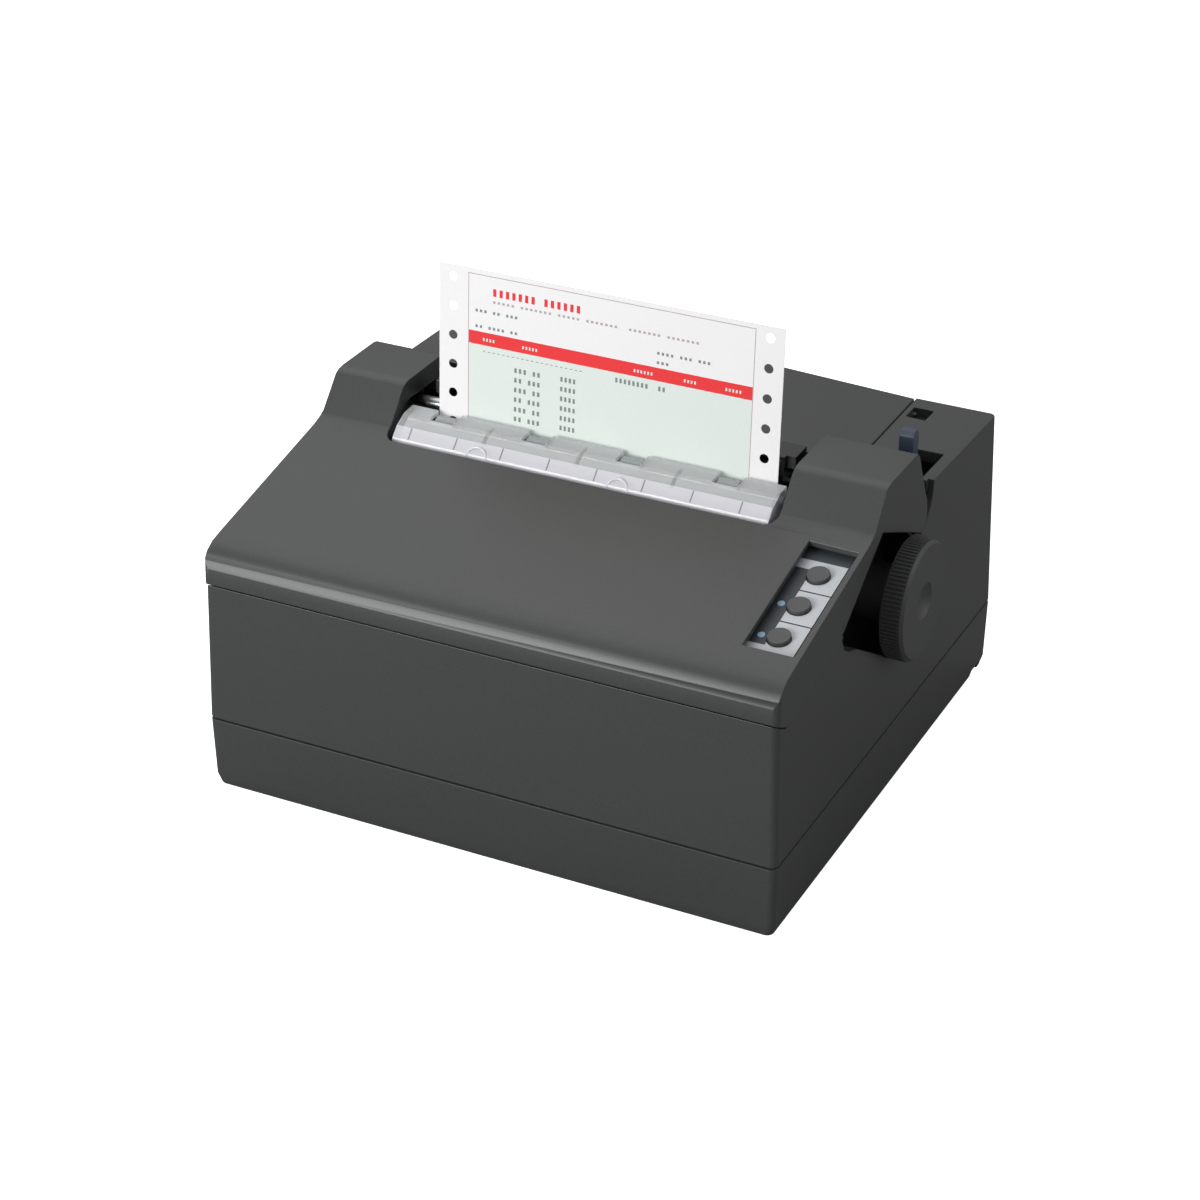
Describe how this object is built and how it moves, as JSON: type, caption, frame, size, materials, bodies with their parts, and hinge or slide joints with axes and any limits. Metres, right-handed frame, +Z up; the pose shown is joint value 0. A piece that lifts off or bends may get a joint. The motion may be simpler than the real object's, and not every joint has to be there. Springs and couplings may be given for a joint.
{
  "type": "dot matrix printer",
  "caption": "Desktop impact printer with a tractor-fed form, a clear tear-off cover, a side paper feed knob, a control panel and hinged front and rear covers.",
  "frame": {"origin": "middle of the whole part's box across and from front to back, on the surface that the feet stand on", "axes": "+X to the printer's right, towards its paper feed knob; +Y to its rear; +Z up"},
  "size_m": [0.261, 0.2364, 0.2008],
  "materials": {
    "shell": "fine textured moulding",
    "clear_cover": "smooth clear plastic",
    "panel": "matt printed panel",
    "button": "matt moulding",
    "lamp": "clear moulding",
    "lever": "matt moulding",
    "knob": "matt moulding",
    "steel": "rolled or ground",
    "rubber": "ground",
    "white_plastic": "moulded",
    "dark_plastic": "moulded",
    "brass": "cut",
    "motor": "painted",
    "paper": "uncoated",
    "belt": "moulded",
    "cable": "extruded",
    "ribbon": "inked weave",
    "board": "coated",
    "tin": "tinned sheet"
  },
  "bodies": {
    "case": {"base_case": "shell", "upper_case": "shell", "tear_off_cover": "clear_cover", "tension_roller_axle": "steel", "cover_hinge_pins": "steel", "rear_cover_pins": "steel", "side_plate_left": "steel", "side_plate_right": "steel", "chassis": "steel", "feed_motor": "motor", "tractor_rod": "steel", "tractor_unit_left": "dark_plastic", "tractor_unit_right": "dark_plastic", "paper_guide": "dark_plastic", "paper_form": "paper", "guide_shaft": "steel", "carriage_rail": "steel", "carriage_motor": "motor", "timing_belt": "belt", "head_cable": "cable", "ribbon_cartridge": "dark_plastic", "ink_ribbon": "ribbon", "control_panel": "panel", "panel_board": "board", "panel_leds": "lamp", "main_board": "board", "power_supply": "tin", "mains_inlet": "dark_plastic", "switch_frame": "dark_plastic", "data_port": "tin", "serial_port": "white_plastic", "rubber_feet": "rubber", "case_screws": "steel"},
    "front_cover": {"front_cover": "shell"},
    "rear_cover": {"rear_cover": "shell"},
    "platen": {"platen_roller": "rubber", "platen_shaft": "steel", "paper_feed_knob": "knob", "platen_gear": "white_plastic"},
    "feed_idler": {"feed_idler_gear": "white_plastic"},
    "feed_pinion": {"feed_pinion": "brass"},
    "tractor_idler": {"tractor_idler_gear": "white_plastic"},
    "tractor_drive": {"tractor_gear": "white_plastic", "tractor_shaft": "steel", "sprocket_wheels": "dark_plastic"},
    "tension_rollers": {"tension_rollers": "white_plastic"},
    "carriage": {"carriage": "dark_plastic", "print_head": "motor"},
    "drive_pulley": {"drive_pulley": "white_plastic"},
    "idler_pulley": {"idler_pulley": "white_plastic"},
    "button_front": {"button_front": "button"},
    "button_middle": {"button_middle": "button"},
    "button_rear": {"button_rear": "button"},
    "release_lever": {"release_lever": "lever"},
    "tractor_lid_left": {"tractor_lid_left": "dark_plastic"},
    "tractor_lid_right": {"tractor_lid_right": "dark_plastic"},
    "power_switch": {"power_switch": "dark_plastic"},
    "ribbon_knob": {"ribbon_knob": "white_plastic"}
  },
  "joints": [
    {"name": "front_cover_hinge", "type": "hinge", "parent": "case", "child": "front_cover", "pos_m": [-0.0045, 0.02275, 0.1255], "axis": [-1, 0, 0], "range_deg": [0, 45]},
    {"name": "rear_cover_hinge", "type": "hinge", "parent": "case", "child": "rear_cover", "pos_m": [-0.0045, 0.10725, 0.1195], "axis": [-1, 0, 0], "range_deg": [0, 55]},
    {"name": "platen_spin", "type": "hinge", "parent": "case", "child": "platen", "pos_m": [-0.0045, 0.00605, 0.0901], "axis": [1, 0, 0], "continuous": true, "deforming": ["paper_form"]},
    {"name": "feed_idler_spin", "type": "hinge", "parent": "case", "child": "feed_idler", "pos_m": [-0.1135, 0.02522, 0.07668], "axis": [1, 0, 0], "continuous": true},
    {"name": "feed_pinion_spin", "type": "hinge", "parent": "case", "child": "feed_pinion", "pos_m": [-0.1135, 0.03237, 0.06429], "axis": [1, 0, 0], "continuous": true},
    {"name": "tractor_idler_spin", "type": "hinge", "parent": "case", "child": "tractor_idler", "pos_m": [-0.1135, 0.00758, 0.1128], "axis": [1, 0, 0], "continuous": true},
    {"name": "tractor_spin", "type": "hinge", "parent": "case", "child": "tractor_drive", "pos_m": [-0.0045, 0.00366, 0.1319], "axis": [1, 0, 0], "continuous": true},
    {"name": "tension_roller_spin", "type": "hinge", "parent": "case", "child": "tension_rollers", "pos_m": [-0.0045, -0.01295, 0.1315], "axis": [1, 0, 0], "continuous": true},
    {"name": "carriage_slide", "type": "slide", "parent": "case", "child": "carriage", "axis": [1, 0, 0], "range_m": [-0.008, 0.128]},
    {"name": "drive_pulley_spin", "type": "hinge", "parent": "case", "child": "drive_pulley", "pos_m": [-0.0965, -0.06825, 0.0585], "axis": [0, 0, 1], "range_deg": [-1300, 120]},
    {"name": "idler_pulley_spin", "type": "hinge", "parent": "case", "child": "idler_pulley", "pos_m": [0.0875, -0.06825, 0.0585], "axis": [0, 0, 1], "range_deg": [-1300, 120]},
    {"name": "release_lever_pivot", "type": "hinge", "parent": "case", "child": "release_lever", "pos_m": [0.1055, 0.04775, 0.0695], "axis": [-1, 0, 0], "range_deg": [0, 12]},
    {"name": "tractor_lid_left_hinge", "type": "hinge", "parent": "case", "child": "tractor_lid_left", "pos_m": [-0.07435, 0.00826, 0.1421], "axis": [-1, 0, 0], "range_deg": [0, 80]},
    {"name": "tractor_lid_right_hinge", "type": "hinge", "parent": "case", "child": "tractor_lid_right", "pos_m": [0.06535, 0.00826, 0.1421], "axis": [-1, 0, 0], "range_deg": [0, 80]},
    {"name": "power_switch_rock", "type": "hinge", "parent": "case", "child": "power_switch", "pos_m": [0.0545, 0.10925, 0.0195], "axis": [1, 0, 0], "range_deg": [0, 12]},
    {"name": "ribbon_knob_spin", "type": "hinge", "parent": "case", "child": "ribbon_knob", "pos_m": [-0.0645, -0.06825, 0.1015], "axis": [0, 0, 1], "continuous": true},
    {"name": "button_front_press", "type": "slide", "parent": "case", "child": "button_front", "axis": [0, -0.2134, 0.977], "range_m": [-0.001, 0], "stiffness_N_per_m": 300, "springref_m": 0.0005},
    {"name": "button_middle_press", "type": "slide", "parent": "case", "child": "button_middle", "axis": [0, -0.2134, 0.977], "range_m": [-0.001, 0], "stiffness_N_per_m": 300, "springref_m": 0.0005},
    {"name": "button_rear_press", "type": "slide", "parent": "case", "child": "button_rear", "axis": [0, -0.2134, 0.977], "range_m": [-0.001, 0], "stiffness_N_per_m": 300, "springref_m": 0.0005}
  ],
  "couplings": [
    {"joint": "feed_idler_spin", "follows": "platen_spin", "ratio": -1.25},
    {"joint": "feed_pinion_spin", "follows": "platen_spin", "ratio": 3.3333},
    {"joint": "tractor_idler_spin", "follows": "platen_spin", "ratio": -1.3333},
    {"joint": "tractor_spin", "follows": "platen_spin", "ratio": 1.3333},
    {"joint": "tension_roller_spin", "follows": "platen_spin", "ratio": -4.175},
    {"joint": "drive_pulley_spin", "follows": "carriage_slide", "rad_per_m": -166.67},
    {"joint": "idler_pulley_spin", "follows": "carriage_slide", "rad_per_m": -166.67}
  ]
}
